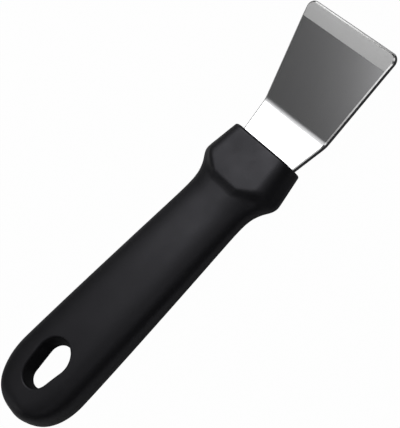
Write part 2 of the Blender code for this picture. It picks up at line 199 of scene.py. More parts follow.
class ScraperHandle(bpy.types.PropertyGroup):
    """Sizes of the moulded handle."""
    butt_round: length("Butt Round", "Length over which the butt's outline closes", 0.0222)
    neck_setback: length("Neck Setback", "From the front face back to the neck", 0.0329)
    panel_setback: length("Panel Setback", "From the front face back to the panel's rear edge", 0.0204)
    corner_setback: length("Corner Setback", "From the front face back to the widest corners", 0.0152)
    butt_half: length("Butt Half Width", "Half of the width where the butt is widest", 0.0198)
    neck_half: length("Neck Half Width", "Half of the width at the neck", 0.0160)
    corner_half: length("Corner Half Width", "Half of the width at the head's corners", 0.0233)
    front_half: length("Front Half Width", "Half of the width of the front face", 0.0201)
    butt_top: length("Butt Top", "Height of the butt over the blade's level", handle_high.z - BLADE_LEVEL)
    neck_top: length("Neck Top", "Height of the neck over the blade's level", 0.0058)
    shoulder_top: length("Shoulder Top", "Height of the grip where it meets the raised panel", 0.0063)
    panel_top: length("Panel Top", "Height of the raised panel over the blade's level", 0.0073)
    underside: length("Underside", "Depth of the flat underside below the blade's level", BLADE_LEVEL)
    side_depth: length("Side Depth", "How deep the sides would round without the flat underside", 0.0060)
    panel_rear_half: length("Panel Rear Half", "Half of the length of the panel's rear edge", 0.0070)
    panel_corner_half: length("Panel Corner Half", "Half of the panel's width at its corners", 0.0175)
    panel_front_half: length("Panel Front Half", "Half of the panel's width at the front face", 0.0160)
    underside_inset: length("Underside Inset", "How far the head draws in towards its underside", 0.0046)
    panel_rounding: length("Panel Rounding", "Softness of the panel's long edges", 0.0045)
    corner_rounding: length("Corner Rounding", "Softness of the head's widest edges", 0.0022)
    front_radius: length("Front Radius", "Radius round the front face", 0.0011)
    slot_rear_centre: length("Slot Rear Centre", "From the butt to the slot's rear arc's centre", 0.0194)
    slot_front_centre: length("Slot Front Centre", "From the butt to the slot's front arc's centre", 0.0272)
    slot_rear_radius: length("Slot Rear Radius", "Radius of the slot's rear arc", 0.0067)
    slot_front_radius: length("Slot Front Radius", "Radius of the slot's front arc", 0.0080)
    slot_top_rim: length("Slot Top Rim", "Radius of the slot's rim on the top", 0.0010)
    throat_rear_centre: length("Throat Rear Centre", "Centre of the throat's rear arc", 0.0184)
    throat_front_centre: length("Throat Front Centre", "Centre of the throat's front arc", 0.0279)
    throat_rear_radius: length("Throat Rear Radius", "Radius of the throat's rear arc", 0.0047)
    throat_front_radius: length("Throat Front Radius", "Radius of the throat's front arc", 0.0059)
    throat_height: length("Throat Height", "Height of the throat over the blade's level", 0.0023)
    throat_spread: length("Throat Spread", "How far the way through widens down to the underside", 0.0052)
    slot_back_rim: length("Slot Back Rim", "Softness of the slot's rim on the underside", 0.0012)
    tang_gap: length("Tang Gap", "Clearance round the steel where it goes into the handle", 0.00008)


class ScraperBlade(bpy.types.PropertyGroup):
    """Sizes of the bent blade."""
    shank_reach: length("Shank Reach", "From the front face of the handle to the bend", 0.0154)
    blade_reach: length("Blade Reach", "From the bend to the scraping edge, along the sheet", 0.0437)
    bend_angle: angle("Bend Angle", "How far the blade is bent up from the shank", 21.6)
    bend_radius: length("Bend Radius", "Radius of the bend at the middle of the sheet", 0.0095)
    shank_half: length("Shank Half Width", "Half of the width where it leaves the handle", 0.0158)
    bend_half: length("Bend Half Width", "Half of the width at the bend", 0.0186)
    edge_half: length("Edge Half Width", "Half of the width at the scraping edge", 0.0254)
    edge_corner: length("Edge Corner", "Radius of the corners of the scraping edge", 0.0032)
    ground: length("Ground Length", "Length of the ground face at the edge", 0.0074)
    edge_thickness: length("Edge Thickness", "Thickness left at the scraping edge", 0.0016)
    arris: length("Arris", "Radius of the worn arris round the upper face", 0.00085)
    back_arris: length("Back Arris", "Radius of the arris round the lower face", 0.00030)
    tang_length: length("Tang Length", "How deep the tang goes into the handle", 0.0620)
    tang_half: length("Tang Half Width", "Half of the tang's width", 0.0110)
    shoulder_depth: length("Shoulder Depth", "Where the tang starts to narrow", 0.0060)
    shoulder_length: length("Shoulder Length", "Length over which the tang narrows", 0.0040)
    tang_corner: length("Tang Corner", "Radius of the tang's end corners", 0.0040)
    key_hole: length("Key Hole", "Radius of the tang's key holes", 0.0032)
    first_key: length("First Key", "From the front face to the first key hole", 0.0220)
    second_key: length("Second Key", "From the front face to the second key hole", 0.0480)


class ScraperFinish(bpy.types.PropertyGroup):
    """Colours and surface finishes."""
    plastic: colour("Plastic", "Colour of the moulded plastic", (0.004, 0.004, 0.005))
    plastic_roughness: share("Plastic Roughness", "Dullness of the moulded plastic", 0.44)
    sheen: colour("Sheen", "Tint of the moulded plastic's sheen", (0.92, 0.91, 1.0))
    steel: colour("Steel", "Colour of the rolled sheet", (0.62, 0.62, 0.63))
    steel_roughness: share("Steel Roughness", "Dullness of the rolled sheet", 0.17)
    ground_steel: colour("Ground Steel", "Colour of the ground face", (0.575, 0.575, 0.575))
    ground_roughness: share("Ground Roughness", "Dullness of the ground face", 0.38)
    # Dark partly for the sheared edge's own dullness and partly as painted shade along the sheet's side
    # walls
    cut_edge_painted_shade: colour("Cut Edge", "Colour of the sheet's sheared edge", (0.12, 0.12, 0.125))
    cut_roughness: share("Cut Roughness", "Dullness of the sheared edge", 0.50)
    # Lighter than the sheet, as a painted highlight along the upper arrises and the wall of the scraping
    # edge
    arris: colour("Arris", "Colour of the rubbed arris", (0.75, 0.75, 0.75))
    # Darker than the sheet, as painted shade on the arris round the scraping edge
    honed_end_painted_shade: colour("Honed End", "Colour of the arris at the scraping edge", (0.31, 0.31, 0.31))
    rubbed_roughness: share("Rubbed Roughness", "Dullness of the rubbed arrises", 0.18)


class ScraperStudio(bpy.types.PropertyGroup):
    """Camera, floor and the room's own light."""
    azimuth: angle("Azimuth", "How far the camera stands to the right of -Y", -0.56)
    elevation: angle("Elevation", "How far the camera looks down", 54.12)
    roll: angle("Roll", "How far the camera is turned about its own line of sight", -45.48)
    distance: length("Distance", "From the camera to the point it looks at", 0.41362)
    target_x: position("Target X", "Where the camera looks, along X", 0.00704)
    target_y: position("Target Y", "Where the camera looks, along Y", 0.00065)
    target_z: position("Target Z", "Where the camera looks, along Z", 0.00657)
    lens: bpy.props.FloatProperty(
        name="Lens", description="Focal length on a 36 mm sensor", default=88.32, unit="CAMERA")
    floor: colour("Floor", "Colour of the floor", (0.76, 0.76, 0.76))
    seen_white: share("Seen White", "How far the floor is shown plain white", 0.985)
    mirrored_white: share("Mirrored White", "How far the floor mirrors plain white", 0.065)
    ambient: share("Ambient", "Brightness of the room all round", 0.085)


class KeyLamp(bpy.types.PropertyGroup):
    """The large soft lamp behind the tool."""
    direction: heading("Where the lamp stands, seen from the tool", (0.270, 0.530, 0.804))
    distance: length("Distance", "From the tool to the lamp", 0.52)
    width: length("Width", "Width of the lamp", 0.215)
    height: length("Height", "Height of the lamp", 0.232)
    brightness: light_level("Brightness", "How bright the lamp's face is", 3.69)


def soft_light(name, direction, strength, half_width, half_height, side_feather, top_feather):
    """A group of settings for one soft window of the studio."""
    settings = {
        "direction": heading("Where the window stands, seen from the tool", direction),
        "strength": light_level("Strength", "How bright the window is", strength),
        "half_width": share("Half Width", "Half of its width at a distance of 1", half_width),
        "half_height": share("Half Height", "Half of its height at a distance of 1", half_height),
        "side_feather": share("Side Feather", "Softness of its left and right edges", side_feather),
        "top_feather": share("Top Feather", "Softness of its top and bottom edges", top_feather),
    }
    return type(name, (bpy.types.PropertyGroup,), {"__annotations__": settings})


GlowWindow = soft_light("GlowWindow", (-0.175, 0.537, 0.825), 1.18, 0.310, 0.092, 0.033, 0.033)
EdgeWindow = soft_light("EdgeWindow", (-0.500, -0.195, 0.845), 1.3, 0.100, 0.100, 0.040, 0.040)
ShankWindow = soft_light("ShankWindow", (0.060, -0.080, 0.995), 0.95, 0.150, 0.150, 0.050, 0.050)
StepWindow = soft_light("StepWindow", (-0.760, 0.530, 0.375), 1.7, 0.140, 0.080, 0.040, 0.040)


# Helpers for shapes

def mix(a, b, part):
    return a + (b - a) * part


def swell(part, power):
    """Rises from 0 to 1 like the rounded end of an oval as the part goes from 0 to 1."""
    part = min(1.0, max(0.0, part))
    return (1.0 - (1.0 - part) ** power) ** (1.0 / power)


def soft_min(a, b, blend):
    """The smaller of two values, with their meeting line rounded over."""
    near = np.maximum(blend - np.abs(a - b), 0.0) / blend
    return np.minimum(a, b) - near * near * blend / 4.0


def even_run(points, steps):
    """The same curve with its points an equal step apart."""
    points = np.array(points)
    gaps = np.linalg.norm(np.diff(points, axis=0), axis=1)
    along = np.concatenate(([0.0], np.cumsum(gaps)))
    wanted = np.linspace(0.0, along[-1], steps + 1)
    return np.column_stack([np.interp(wanted, along, column) for column in points.T])


def soft_corner(before, corner, after, reach):
    """Points on a corner that is rounded from a distance before it to one after it."""
    before, corner, after = Vector(before), Vector(corner), Vector(after)
    start = corner + (before - corner).normalized() * reach
    end = corner + (after - corner).normalized() * reach
    parts = np.linspace(0.0, 1.0, CORNER_SAMPLES + 1)
    return [tuple(start.lerp(corner, t).lerp(corner.lerp(end, t), t)) for t in parts]


def extrude_ring(bm, ring, points):
    """Draws a closed ring of points out to a new section, point for point."""
    edges = [bm.edges.get((a, b)) for a, b in zip(ring, ring[1:] + ring[:1])]
    grown = bmesh.ops.extrude_edge_only(bm, edges=edges)["geom"]
    fresh = {item for item in grown if isinstance(item, bmesh.types.BMVert)}
    following = []
    for old, point in zip(ring, points):
        new = next(e.other_vert(old) for e in old.link_edges if e.other_vert(old) in fresh)
        new.co = point
        following.append(new)
    return following


def shade(bm, sharp_angle):
    """Smooth faces, whose edges stay sharp from an angle up."""
    bm.normal_update()
    for face in bm.faces:
        face.smooth = True
    for edge in bm.edges:
        edge.smooth = edge.calc_face_angle(0.0) < sharp_angle


def finished_object(name, bm, materials):
    """Turns a finished mesh into an object at the origin."""
    mesh = bpy.data.meshes.new(name)
    bm.to_mesh(mesh)
    bm.free()
    for material in materials:
        mesh.materials.append(material)
    piece = bpy.data.objects.new(name, mesh)
    bpy.context.scene.collection.objects.link(piece)
    shading = piece.modifiers.new("large_faces_lead", "WEIGHTED_NORMAL")
    shading.keep_sharp = True
    return piece


# Materials

def add_node(tree, kind, **settings):
    node = tree.nodes.new(kind)
    for name, value in settings.items():
        setattr(node, name, value)
    return node


def calculated(tree, operation, *terms):
    """The result of a Math node, whose terms are plain numbers or outputs of other nodes."""
    node = add_node(tree, "ShaderNodeMath", operation=operation)
    for socket, term in zip(node.inputs, terms):
        if isinstance(term, float):
            socket.default_value = term
        else:
            tree.links.new(term, socket)
    return node.outputs["Value"]


def dot_with(tree, source, axis):
    node = add_node(tree, "ShaderNodeVectorMath", operation="DOT_PRODUCT")
    node.inputs[1].default_value = axis
    tree.links.new(source, node.inputs[0])
    return node.outputs["Value"]


def mapped(tree, source, given, wanted, interpolation="LINEAR"):
    """Takes a value from a given range to the wanted one."""
    node = add_node(tree, "ShaderNodeMapRange", interpolation_type=interpolation)
    for name, value in zip(("From Min", "From Max", "To Min", "To Max"), (*given, *wanted)):
        node.inputs[name].default_value = value
    tree.links.new(source, node.inputs["Value"])
    return node.outputs["Result"]


def new_surface(name, base, roughness, metallic=1.0):
    """A material with a Principled shader, whose constants stand on its own sockets."""
    material = bpy.data.materials.new(name)
    material.use_nodes = True
    shader = material.node_tree.nodes["Principled BSDF"]
    shader.inputs["Base Color"].default_value = (*base, 1.0)
    shader.inputs["Roughness"].default_value = roughness
    shader.inputs["Metallic"].default_value = metallic
    return material, material.node_tree, shader


def pattern(tree, scale, detail):
    """Noise on the object's own coordinates, with a scale of its own along each axis."""
    place = add_node(tree, "ShaderNodeTexCoord")
    mapping = add_node(tree, "ShaderNodeMapping")
    mapping.inputs["Scale"].default_value = scale
    noise = add_node(tree, "ShaderNodeTexNoise")
    noise.inputs["Scale"].default_value = 1.0
    noise.inputs["Detail"].default_value = detail
    tree.links.new(place.outputs["Object"], mapping.inputs["Vector"])
    tree.links.new(mapping.outputs["Vector"], noise.inputs["Vector"])
    return noise.outputs["Fac"]


def vary_roughness(tree, shader, source, swing):
    """Lets a pattern raise and lower the roughness round its own value."""
    socket = shader.inputs["Roughness"]
    middle = socket.default_value
    tree.links.new(mapped(tree, source, NOISE_RANGE, (middle - swing, middle + swing)), socket)


def emboss(tree, shader, height, depth, strength):
    """Raises a pattern on the surface, to a real depth."""
    bump = add_node(tree, "ShaderNodeBump")
    bump.inputs["Strength"].default_value = strength
    bump.inputs["Distance"].default_value = depth
    tree.links.new(height, bump.inputs["Height"])
    tree.links.new(bump.outputs["Normal"], shader.inputs["Normal"])


def grained_plastic(finish):
    """Black plastic with the fine grain of a spark eroded mould."""
    material, tree, shader = new_surface(
        "grained_plastic", finish.plastic, finish.plastic_roughness, metallic=0.0)
    cloud = pattern(tree, scale=(90.0, 90.0, 90.0), detail=3.0)
    vary_roughness(tree, shader, cloud, swing=0.04)
    grain = pattern(tree, scale=(2600.0, 2600.0, 2600.0), detail=2.0)
    emboss(tree, shader, grain, depth=0.00004, strength=0.6)
    shader.inputs["Specular Tint"].default_value = (*finish.sheen, 1.0)
    return material


def rolled_steel(finish):
    """Stainless sheet with the fine lines of its rolling along the tool."""
    material, tree, shader = new_surface("rolled_steel", finish.steel, finish.steel_roughness)
    lines = pattern(tree, scale=(60.0, 3200.0, 60.0), detail=3.0)
    vary_roughness(tree, shader, lines, swing=0.01)
    emboss(tree, shader, lines, depth=0.000001, strength=0.5)
    return material


def ground_steel(finish):
    """The matt face that the grinding belt leaves at the scraping edge."""
    material, tree, shader = new_surface("ground_steel", finish.ground_steel, finish.ground_roughness)
    lines = pattern(tree, scale=(220.0, 5200.0, 220.0), detail=4.0)
    vary_roughness(tree, shader, lines, swing=0.05)
    emboss(tree, shader, lines, depth=0.000010, strength=0.6)
    return material


def cut_edge_painted_shade(finish):
    """The dull wall that the press leaves where it shears the sheet, with a dark colour that is also
    painted shade along the side walls.
    """
    material, tree, shader = new_surface("cut_edge_painted_shade", finish.cut_edge_painted_shade, finish.cut_roughness)
    tears = pattern(tree, scale=(2600.0, 2600.0, 500.0), detail=3.0)
    vary_roughness(tree, shader, tears, swing=0.08)
    emboss(tree, shader, tears, depth=0.00002, strength=0.6)
    return material


def rubbed_steel_painted_light(name, base, roughness):
    """The line along the sheet's corners, rubbed smooth by use, in a given base colour that paints light on
    it: lighter as a painted highlight, darker as painted shade.
    """
    material, tree, shader = new_surface(name, base, roughness)
    rub = pattern(tree, scale=(900.0, 900.0, 900.0), detail=3.0)
    vary_roughness(tree, shader, rub, swing=0.03)
    return material


# Handle

def grip_section(size, half_width, top, side_depth, power):
    """Half of an oval section with a flat underside, from the top round to the bottom."""
    turn = np.linspace(0.0, math.pi / 2, CURVE_SAMPLES)
    out = half_width * np.cos(turn) ** (2.0 / power)
    up = top * np.sin(turn) ** (2.0 / power)
    down = -soft_min(side_depth * np.sin(turn) ** (2.0 / power), size.underside, UNDERSIDE_BLEND)
    upper = even_run(np.column_stack((out, up))[::-1], UPPER_STEPS)
    lower = even_run(np.column_stack((out, down)), LOWER_STEPS)
    section = np.vstack((upper, lower[1:]))
    # The middle points lie at no width, and the widest point at no height
    section[[0, UPPER_STEPS, -1], [0, 1, 0]] = 0.0
    return section


def grip_shape(size, x):
    """Half width, top, side depth and fullness of the grip's section at a distance from the butt."""
    neck_x = HANDLE_LENGTH - size.neck_setback
    if x <= size.butt_round:
        half_width = size.butt_half * swell(x / size.butt_round, BUTT_PLAN_POWER)
        fall = swell(x / EDGE_FALL_LENGTH, NECK_SECTION_POWER)
        return half_width, size.butt_top * fall, size.side_depth * fall, BUTT_SECTION_POWER
    part = (x - size.butt_round) / (neck_x - size.butt_round)
    half_width = mix(size.butt_half, size.neck_half, part ** GRIP_TAPER_POWER)
    power = mix(BUTT_SECTION_POWER, NECK_SECTION_POWER, part)
    return half_width, mix(size.butt_top, size.neck_top, part), size.side_depth, power


def grip_surface(size, x, y, upper):
    """Height of the grip's top or underside over the blade's level at a point in plan."""
    half_width, top, side_depth, power = grip_shape(size, x)
    fullness = max(0.0, 1.0 - min(1.0, abs(y) / half_width) ** power) ** (1.0 / power)
    if upper:
        return top * fullness
    return -float(soft_min(side_depth * fullness, size.underside, UNDERSIDE_BLEND))


def head_section(size, half_width, panel_half):
    """Half of the six sided section of the head, point for point like the grip's."""
    top_middle = (0.0, size.panel_top)
    panel_edge = (panel_half, size.panel_top)
    widest = (half_width, 0.0)
    bottom_edge = (half_width - size.underside_inset, -size.underside)
    bottom_middle = (0.0, -size.underside)
    side = soft_corner(panel_edge, widest, bottom_edge, size.corner_rounding)
    middle = CORNER_SAMPLES // 2
    upper = [top_middle] + soft_corner(top_middle, panel_edge, widest, size.panel_rounding)
    upper += side[:middle + 1]
    lower = side[middle:]
    lower += soft_corner(widest, bottom_edge, bottom_middle, size.corner_rounding / 2) + [bottom_middle]
    return np.vstack((even_run(upper, UPPER_STEPS), even_run(lower, LOWER_STEPS)[1:]))


def widest_head(size):
    return head_section(size, size.corner_half, size.panel_corner_half)


def row_of(xs, section):
    """A row of (x, y, z) from a section of (y, z)."""
    return np.column_stack((np.broadcast_to(xs, len(section)), section))


def butt_and_grip_rows(size):
    rows = []
    turns = np.linspace(FIRST_BUTT_TURN, math.pi / 2, BUTT_ROWS + 1)
    places = [size.butt_round * (1.0 - math.cos(turn)) for turn in turns]
    neck_x = HANDLE_LENGTH - size.neck_setback
    places += list(np.linspace(size.butt_round, neck_x, GRIP_ROWS + 1)[1:])
    for x in places:
        rows.append(row_of(x, grip_section(size, *grip_shape(size, x))))
    return rows


def outward_shares(size, reach, offset=0.0):
    """How far out each point lies between the panel's rear edge and a reach, and 1 on the lower half."""
    head = widest_head(size)
    start = size.panel_rear_half
    outward = np.clip((head[:, 0] - start) / (reach - start) + offset, 0.0, 1.0)
    return np.where(head[:, 1] > 0.0, outward, 1.0)


def crease_line(size):
    """Where the raised panel starts along the handle, for each point of a section."""
    offsets = np.linspace(-PANEL_CORNER_SOFTNESS, PANEL_CORNER_SOFTNESS, PANEL_CORNER_SAMPLES)
    slants = [outward_shares(size, size.panel_corner_half, offset) for offset in offsets]
    return HANDLE_LENGTH - mix(size.panel_setback, size.corner_setback, np.mean(slants, axis=0))


def shoulder_rows(size, end_xs):
    """Rows from the neck up to the rear edge of the raised panel."""
    head = widest_head(size)
    neck_x = HANDLE_LENGTH - size.neck_setback
    rows = []
    for part in np.linspace(0.0, 1.0, SHOULDER_ROWS + 1)[1:]:
        half_width = mix(size.neck_half, size.corner_half, part ** SHOULDER_POWER)
        top = mix(size.neck_top, size.shoulder_top, part)
        grip = grip_section(size, half_width, top, size.side_depth, NECK_SECTION_POWER)
        step = max(0.0, (part - STEP_START) / (1.0 - STEP_START)) ** STEP_POWER
        rows.append(row_of(mix(neck_x, end_xs, part), mix(grip, head, step)))
    return rows


def head_rows(size, start_xs):
    """Rows over the raised panel and round the edge of the front face."""
    rounded_x = HANDLE_LENGTH - size.front_radius
    rows = []
    for part in np.linspace(0.0, 1.0, HEAD_ROWS + 1)[1:]:
        half_width = mix(size.corner_half, size.front_half, part)
        panel_half = mix(size.panel_corner_half, size.panel_front_half, part)
        rows.append(row_of(mix(start_xs, rounded_x, part), head_section(size, half_width, panel_half)))
    front = head_section(size, size.front_half, size.panel_front_half)
    for turn in np.linspace(0.0, math.pi / 2, FRONT_ROWS + 1)[1:]:
        inset = size.front_radius * (1.0 - math.cos(turn))
        scale_y = 1.0 - inset / size.front_half
        depth = np.where(front[:, 1] > 0.0, size.panel_top, size.underside)
        scale_z = 1.0 - inset / depth
        shrunk = np.column_stack((front[:, 0] * scale_y, front[:, 1] * scale_z))
        rows.append(row_of(rounded_x + size.front_radius * math.sin(turn), shrunk))
    return rows


def soften_rows(rows, middle, reach, passes, weights):
    """Rounds the crease that runs through one row, along the handle, by each point's own weight."""
    for _ in range(passes):
        near = rows[middle - reach - 1:middle + reach + 1]
        evened = (near[:-2] + 2.0 * near[1:-1] + near[2:]) / 4.0
        rows[middle - reach:middle + reach] = mix(near[1:-1], evened, weights)


def whole_ring(row):
    """Mirrors half a row to the other side and sets it in its place in the frame."""
    mirrored = row * (1.0, -1.0, 1.0)
    points = np.vstack((row, mirrored[-2:0:-1])) + (BUTT_X, 0.0, BLADE_LEVEL)
    return [tuple(point) for point in points]


def loft_rings(bm, rings):
    """A skin over the rings, closed at the first one and open at the last."""
    # The circle gives the first ring its points and its cap, and the loop below puts them in place
    bmesh.ops.create_circle(bm, cap_ends=True, segments=len(rings[0]), radius=HANDLE_LENGTH)
    bm.verts.ensure_lookup_table()
    ring = list(bm.verts)
    for vert, point in zip(ring, rings[0]):
        vert.co = point
    drawn = [ring]
    for points in rings[1:]:
        ring = extrude_ring(bm, ring, points)
        drawn.append(ring)
    return drawn


def egg_outline(rear_centre, rear_radius, front_centre, front_radius, count):
    """Points and outward directions in plan round an egg shape, from its front towards +Y."""
    lean = math.asin((front_radius - rear_radius) / (front_centre - rear_centre))
    front_run = front_radius * (math.pi / 2 + lean)
    side_run = (front_centre - rear_centre) * math.cos(lean)
    half = front_run + side_run + rear_radius * (math.pi / 2 - lean)
    outline = []
    for k in range(count):
        along = 2.0 * half * k / count
        side = 1.0 if along <= half else -1.0
        along = min(along, 2.0 * half - along)
        if along < front_run + side_run:
            turn = min(along, front_run) / front_radius
            centre, radius, ahead = front_centre, front_radius, max(0.0, along - front_run)
        else:
            turn = math.pi / 2 + lean + (along - front_run - side_run) / rear_radius
            centre, radius, ahead = rear_centre, rear_radius, 0.0
        out = Vector((math.cos(turn), math.sin(turn)))
        point = Vector((centre, 0.0)) + out * radius + Vector((-out.y, out.x)) * ahead
        outline.append((Vector((point.x, side * point.y)), Vector((out.x, side * out.y))))
    return outline


def patch_loop(rings, first, last, column_of):
    """The verts round the slot's patch, from its front middle towards +Y."""
    reach = SLOT_PATCH_COLUMNS
    places = [(last, c) for c in range(0, reach)]
    places += [(row, reach) for row in range(last, first, -1)]
    places += [(first, c) for c in range(reach, -reach, -1)]
    places += [(row, -reach) for row in range(first, last)]
    places += [(last, c) for c in range(-reach, 0)]
    return [rings[row][column_of(c)] for row, c in places]


def settle_round_slot(bm, size, rings, first, last, column_of, fixed, upper):
    """Evens out the skin round the slot in plan, and puts it back on the grip's own surface."""
    reach = SLOT_PATCH_COLUMNS + SLOT_SETTLE_COLUMNS
    rows = range(first - SLOT_SETTLE_ROWS, last + SLOT_SETTLE_ROWS + 1)
    zone = {rings[row][column_of(c)] for row in rows for c in range(-reach, reach + 1)}
    zone = [vert for vert in zone if vert.is_valid and vert not in fixed]
    for _ in range(SLOT_SETTLE_PASSES):
        bmesh.ops.smooth_vert(bm, verts=zone, factor=0.5, use_axis_x=True, use_axis_y=True)
    for vert in zone:
        vert.co.z = BLADE_LEVEL + grip_surface(size, vert.co.x - BUTT_X, vert.co.y, upper)


def slot_wall(size, mouth, throat, tops, bottoms):
    """Rings of plan points and heights down the slot: its rim, a funnel to the throat and one below."""
    wall = []
    for turn in np.linspace(math.pi / 2, 0.0, SLOT_RIM_ROWS + 1)[1:]:
        drop = size.slot_top_rim * (1.0 - math.sin(turn))
        grow = size.slot_top_rim * (1.0 - math.cos(turn))
        wall.append([(point + out * grow, top - drop) for (point, out), top in zip(mouth, tops)])
    rim_ends = [height for _, height in wall[-1]]
    for part in np.linspace(0.0, 1.0, SLOT_WALL_ROWS + 1)[1:]:
        wall.append([(upper.lerp(lower, part), mix(end, size.throat_height, part))
                     for (upper, _), (lower, _), end in zip(mouth, throat, rim_ends)])
    throat_end = (0.0, size.throat_height)
    flare = size.throat_spread
    profiles = [soft_corner(throat_end, (flare, bottom), (2.0 * flare, bottom), size.slot_back_rim)
                for bottom in bottoms]
    for part in np.linspace(0.0, 1.0, SLOT_WALL_ROWS + 1)[1:-1]:
        wall.append([(point + out * profile[0][0] * part, mix(size.throat_height, profile[0][1], part))
                     for (point, out), profile in zip(throat, profiles)])
    for step in range(CORNER_SAMPLES + 1):
        wall.append([(point + out * profile[step][0], profile[step][1])
                     for (point, out), profile in zip(throat, profiles)])
    return wall


def cut_slot(bm, size, rings, ring_xs):
    """Opens the hanging slot through the grip, with a rounded rim on both sides."""
    first = int(np.argmin(np.abs(ring_xs - SLOT_PATCH_REAR)))
    last = int(np.argmin(np.abs(ring_xs - SLOT_PATCH_FRONT)))
    columns = len(rings[0])
    # Both skins count their columns from the middle, so that the upper and lower loops run alike
    sides = {True: lambda c: c % columns, False: lambda c: (columns // 2 - c) % columns}
    loops = {upper: patch_loop(rings, first, last, column_of) for upper, column_of in sides.items()}
    reach = range(-SLOT_PATCH_COLUMNS, SLOT_PATCH_COLUMNS + 1)
    for column_of in sides.values():
        patch = {rings[row][column_of(c)] for row in range(first, last + 1) for c in reach}
        faces = {face for vert in patch for face in vert.link_faces if patch.issuperset(face.verts)}
        bmesh.ops.delete(bm, geom=list(faces), context="FACES")
    count = len(loops[True])
    mouth = egg_outline(size.slot_rear_centre, size.slot_rear_radius,
                        size.slot_front_centre, size.slot_front_radius, count)
    throat = egg_outline(size.throat_rear_centre, size.throat_rear_radius,
                         size.throat_front_centre, size.throat_front_radius, count)
    back_rim = size.throat_spread + size.slot_back_rim
    heights = {}
    for upper, outline, rim in ((True, mouth, size.slot_top_rim), (False, throat, back_rim)):
        places = [point + out * rim for point, out in outline]
        heights[upper] = [grip_surface(size, place.x, place.y, upper) for place in places]
        for vert, place, height in zip(loops[upper], places, heights[upper]):
            vert.co = (BUTT_X + place.x, place.y, BLADE_LEVEL + height)
        settle_round_slot(bm, size, rings, first, last, sides[upper], set(loops[upper]), upper)
    ring = loops[True]
    for points in slot_wall(size, mouth, throat, heights[True], heights[False]):
        ring = extrude_ring(bm, ring, [(BUTT_X + p.x, p.y, BLADE_LEVEL + z) for p, z in points])


def flat_ring(half_width, half_height, chamfer, x):
    """A ring round the tang, chamfered like its upper face, with as many points as the handle's rings."""
    top_steps = UPPER_STEPS - POCKET_SIDE_STEPS - POCKET_CORNER_STEPS
    legs = (((0.0, half_height), (half_width - chamfer, half_height), top_steps),
            ((half_width - chamfer, half_height), (half_width, half_height - chamfer), POCKET_CORNER_STEPS),
            ((half_width, half_height - chamfer), (half_width, 0.0), POCKET_SIDE_STEPS),
            ((half_width, 0.0), (half_width, -half_height), POCKET_SIDE_STEPS),
            ((half_width, -half_height), (0.0, -half_height), LOWER_STEPS - POCKET_SIDE_STEPS))
    points = [even_run((start, end), steps)[:-1] for start, end, steps in legs]
    return whole_ring(row_of(x, np.vstack(points + [(0.0, -half_height)])))


def sink_tang_pocket(bm, size, blade, ring):
    """Closes the front face round the mouth of the tang's pocket, and draws the pocket in."""
    height = SHEET_THICKNESS / 2 + size.tang_gap
    stations = [
        (0.0, blade.shank_half), (blade.shoulder_depth, blade.shank_half),
        (blade.shoulder_depth + blade.shoulder_length, blade.tang_half),
        (blade.tang_length + size.tang_gap, blade.tang_half)]
    for depth, half_width in stations:
        points = flat_ring(half_width + size.tang_gap, height, blade.arris / 2, HANDLE_LENGTH - depth)
        ring = extrude_ring(bm, ring, points)
    bmesh.ops.contextual_create(bm, geom=ring)


def build_handle(size, blade):
    """One moulding: its skin from the butt to the front face, the tang's pocket and the slot."""
    crease_xs = crease_line(size)
    grip = butt_and_grip_rows(size)
    shoulder = shoulder_rows(size, crease_xs)
    rows = np.array(grip + shoulder + head_rows(size, crease_xs))
    crease = len(grip) + len(shoulder) - 1
    side_weights = outward_shares(size, size.corner_half)[:, None]
    soften_rows(rows, len(grip), NECK_ROWS, NECK_PASSES, 1.0)
    soften_rows(rows, crease, REAR_EDGE_ROWS, REAR_EDGE_PASSES, 1.0)
    soften_rows(rows, crease, SIDE_CORNER_ROWS, SIDE_CORNER_PASSES, side_weights)
    bm = bmesh.new()
    rings = loft_rings(bm, [whole_ring(row) for row in rows])
    sink_tang_pocket(bm, size, blade, rings[-1])
    cut_slot(bm, size, rings, np.array([row[0][0] for row in grip]))
    bmesh.ops.remove_doubles(bm, verts=bm.verts, dist=WELD_DISTANCE)
    bmesh.ops.recalc_face_normals(bm, faces=bm.faces)
    shade(bm, HANDLE_SHARP_ANGLE)
    return bm


# Blade

def spin_corner(bm, start, centre, turn, steps):
    """Turns a point about an upright axis and returns the points of its arc."""
    vert = bm.verts.new((start[0], start[1], 0.0))
    arc = [vert]
    swept = bmesh.ops.spin(bm, geom=[vert], cent=(centre[0], centre[1], 0.0), axis=(0.0, 0.0, 1.0),
                           angle=turn, steps=steps, use_duplicate=False)
    last = next(item for item in swept["geom_last"] if isinstance(item, bmesh.types.BMVert))
    while arc[-1] is not last:
        neighbours = [edge.other_vert(arc[-1]) for edge in arc[-1].link_edges]
        arc.append(next(vert for vert in neighbours if vert not in arc))
    return arc


